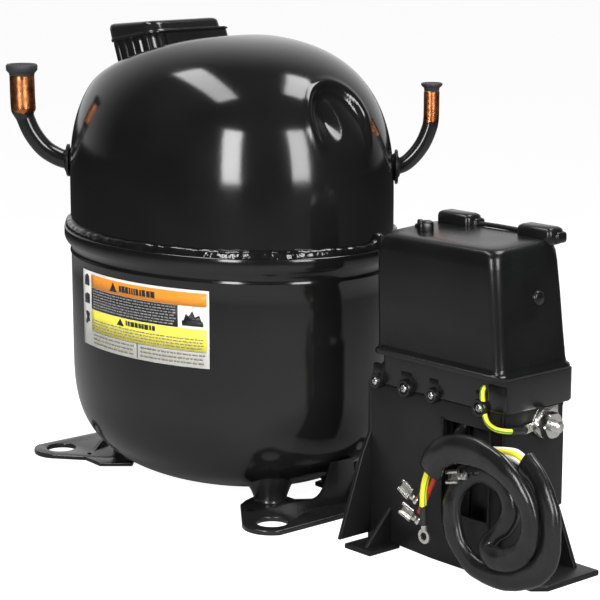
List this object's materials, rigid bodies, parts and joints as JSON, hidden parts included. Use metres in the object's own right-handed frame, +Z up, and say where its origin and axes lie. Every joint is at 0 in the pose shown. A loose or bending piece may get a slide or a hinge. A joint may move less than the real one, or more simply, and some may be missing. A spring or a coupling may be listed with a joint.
{
  "type": "hermetic reciprocating compressor",
  "caption": "Welded oval compressor shell on base rails with stub tubes, a sprung motor and piston pump inside, and an electrical box on a bracket with a coiled lead.",
  "frame": {"origin": "middle of the footprint, on the floor", "axes": "+X along the oval shell towards the electrical box, +Y across it to the discharge side, +Z up"},
  "size_m": [0.4307, 0.1798, 0.2744],
  "materials": {
    "black_paint": "gloss",
    "label_film": "satin",
    "plug_rubber": "matte",
    "copper": "bright drawn copper",
    "terminal_glass": "gloss",
    "steel": "ground",
    "box_plastic": "satin moulded",
    "bracket_plastic": "satin",
    "lamination": "stamped",
    "winding_enamel": "varnished",
    "zinc": "zinc plated",
    "cast_aluminium": "cast",
    "cast_iron": "cast",
    "white_plastic": "moulded",
    "capacitor_case": "moulded",
    "earth_insulation": "extruded",
    "sleeve": "soft sleeve"
  },
  "bodies": {
    "shell": {"base_rail_box_side": "black_paint", "base_rail_far_side": "black_paint", "box_base": "bracket_plastic", "box_bracket": "bracket_plastic", "discharge_collar": "black_paint", "discharge_tube": "copper", "earth_bolt": "zinc", "earth_lug": "zinc", "earth_nut": "zinc", "earth_tab": "zinc", "earth_wire": "earth_insulation", "harness_coil": "sleeve", "harness_feed": "sleeve", "harness_leads": "sleeve", "label": "label_film", "lower_shell": "black_paint", "lug_screw_1": "zinc", "lug_screw_2": "zinc", "lug_screw_3": "zinc", "lug_screw_4": "zinc", "mount_spring_1": "steel", "mount_spring_2": "steel", "mount_spring_3": "steel", "mount_spring_4": "steel", "process_tube": "copper", "start_capacitor": "capacitor_case", "start_relay": "white_plastic", "suction_collar": "black_paint", "suction_tube": "copper", "terminal_fence": "black_paint", "terminal_header": "terminal_glass", "terminal_pin_1": "steel", "terminal_pin_2": "steel", "terminal_pin_3": "steel", "upper_shell": "black_paint", "weld_bead": "black_paint"},
    "motor_unit": {"stator_core": "lamination", "upper_winding": "winding_enamel", "lower_winding": "winding_enamel", "crankcase": "cast_iron", "valve_plate": "steel", "cylinder_head": "cast_aluminium", "suction_muffler": "white_plastic", "discharge_loop": "copper", "stator_bolt_1": "zinc", "stator_bolt_2": "zinc", "stator_bolt_3": "zinc", "stator_bolt_4": "zinc"},
    "crank": {"rotor": "cast_aluminium", "crankshaft": "steel", "oil_pickup": "steel"},
    "rod": {"connecting_rod": "cast_aluminium", "wrist_pin": "steel"},
    "piston": {"piston": "steel"},
    "box_cover": {"box_cover": "box_plastic", "clip_bar": "bracket_plastic"},
    "terminal_cover": {"terminal_cover": "box_plastic"},
    "suction_plug": {"suction_plug": "plug_rubber"},
    "discharge_plug": {"discharge_plug": "plug_rubber"},
    "process_plug": {"process_plug": "plug_rubber"}
  },
  "joints": [
    {"name": "motor_float", "type": "slide", "parent": "shell", "child": "motor_unit", "axis": [0, 0, 1], "range_m": [-0.003, 0.003], "stiffness_N_per_m": 40000, "springref_m": 0.0027, "deforming": ["mount_spring_1", "mount_spring_2", "mount_spring_3", "mount_spring_4"]},
    {"name": "crank_spin", "type": "hinge", "parent": "motor_unit", "child": "crank", "pos_m": [-0.0935, 0, 0.1], "axis": [0, 0, 1], "continuous": true},
    {"name": "rod_swing", "type": "hinge", "parent": "crank", "child": "rod", "pos_m": [-0.0855, 0, 0.189], "axis": [0, 0, 1], "continuous": true},
    {"name": "piston_slide", "type": "slide", "parent": "motor_unit", "child": "piston", "axis": [1, 0, 0], "range_m": [-0.016, 0]},
    {"name": "box_cover_lift", "type": "slide", "parent": "shell", "child": "box_cover", "axis": [0, 0, 1], "range_m": [0, 0.085]},
    {"name": "terminal_cover_lift", "type": "slide", "parent": "shell", "child": "terminal_cover", "axis": [-0.3584, 0, 0.9336], "range_m": [0, 0.05]},
    {"name": "suction_plug_pull", "type": "slide", "parent": "shell", "child": "suction_plug", "axis": [0, 0, 1], "range_m": [0, 0.025]},
    {"name": "discharge_plug_pull", "type": "slide", "parent": "shell", "child": "discharge_plug", "axis": [0, 0, 1], "range_m": [0, 0.025]},
    {"name": "process_plug_pull", "type": "slide", "parent": "shell", "child": "process_plug", "axis": [0, 0, 1], "range_m": [0, 0.025]}
  ],
  "couplings": [
    {"joint": "rod_swing", "follows": "crank_spin", "ratio": -1}
  ]
}
